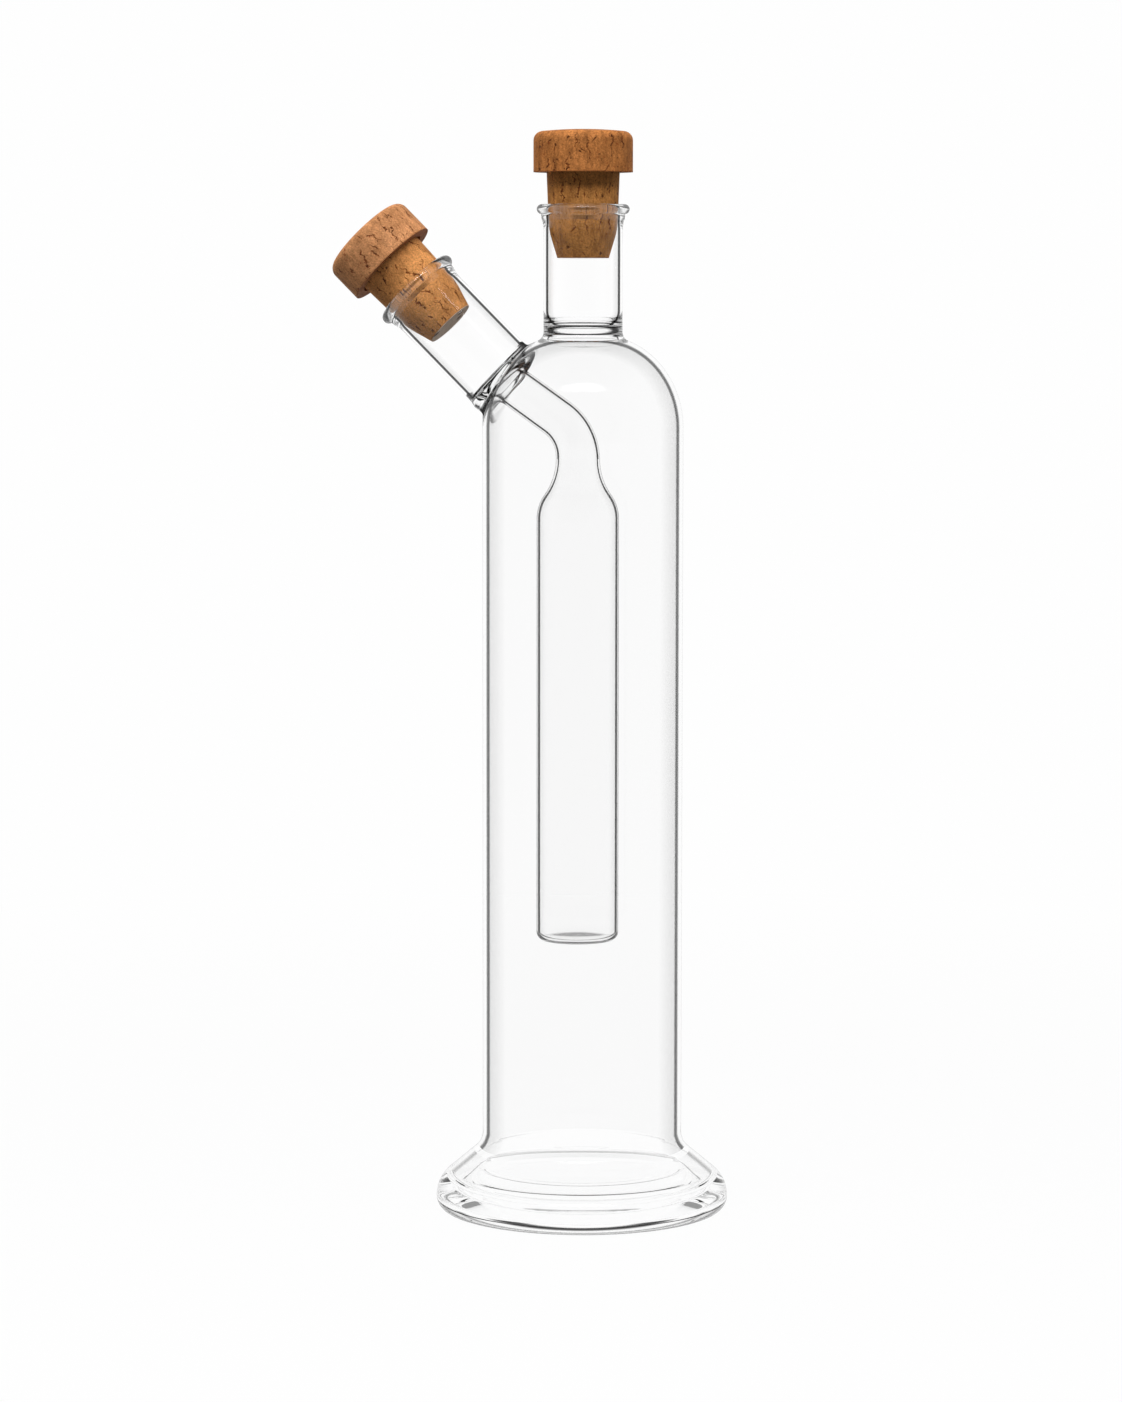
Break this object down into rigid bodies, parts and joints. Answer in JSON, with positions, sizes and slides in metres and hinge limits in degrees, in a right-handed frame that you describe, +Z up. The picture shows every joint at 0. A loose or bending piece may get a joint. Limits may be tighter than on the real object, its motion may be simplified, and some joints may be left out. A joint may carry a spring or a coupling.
{
  "type": "oil and vinegar cruet",
  "caption": "Tall clear glass cruet: an oil bottle on a flared foot with a vinegar vial hanging inside it, an upright and a slanting neck, and tapered cork stoppers.",
  "frame": {"origin": "centre of the ring that the foot stands on, at table height, on the bottle's axis", "axes": "+Z up along the bottle's axis; the slanting neck leans towards -X in the XZ plane"},
  "size_m": [0.1041, 0.0762, 0.2812],
  "materials": {
    "glass": "clear borosilicate glass, flame polished",
    "head_cork": "turned natural cork, pinkish brown, matt",
    "shank_cork": "turned natural cork, golden brown, with dark pores"
  },
  "bodies": {
    "bottle": {"outer_bottle": "glass", "inner_vessel": "glass", "side_neck": "glass"},
    "main_stopper": {"main_stopper_head": "head_cork", "main_stopper_shank": "shank_cork"},
    "side_stopper": {"side_stopper_head": "head_cork", "side_stopper_shank": "shank_cork"}
  },
  "joints": [
    {"name": "main_stopper_pull", "type": "slide", "parent": "bottle", "child": "main_stopper", "axis": [0, 0, 1], "range_m": [0, 0.03]},
    {"name": "side_stopper_pull", "type": "slide", "parent": "bottle", "child": "side_stopper", "axis": [-0.7071, 0, 0.7071], "range_m": [0, 0.03]}
  ]
}
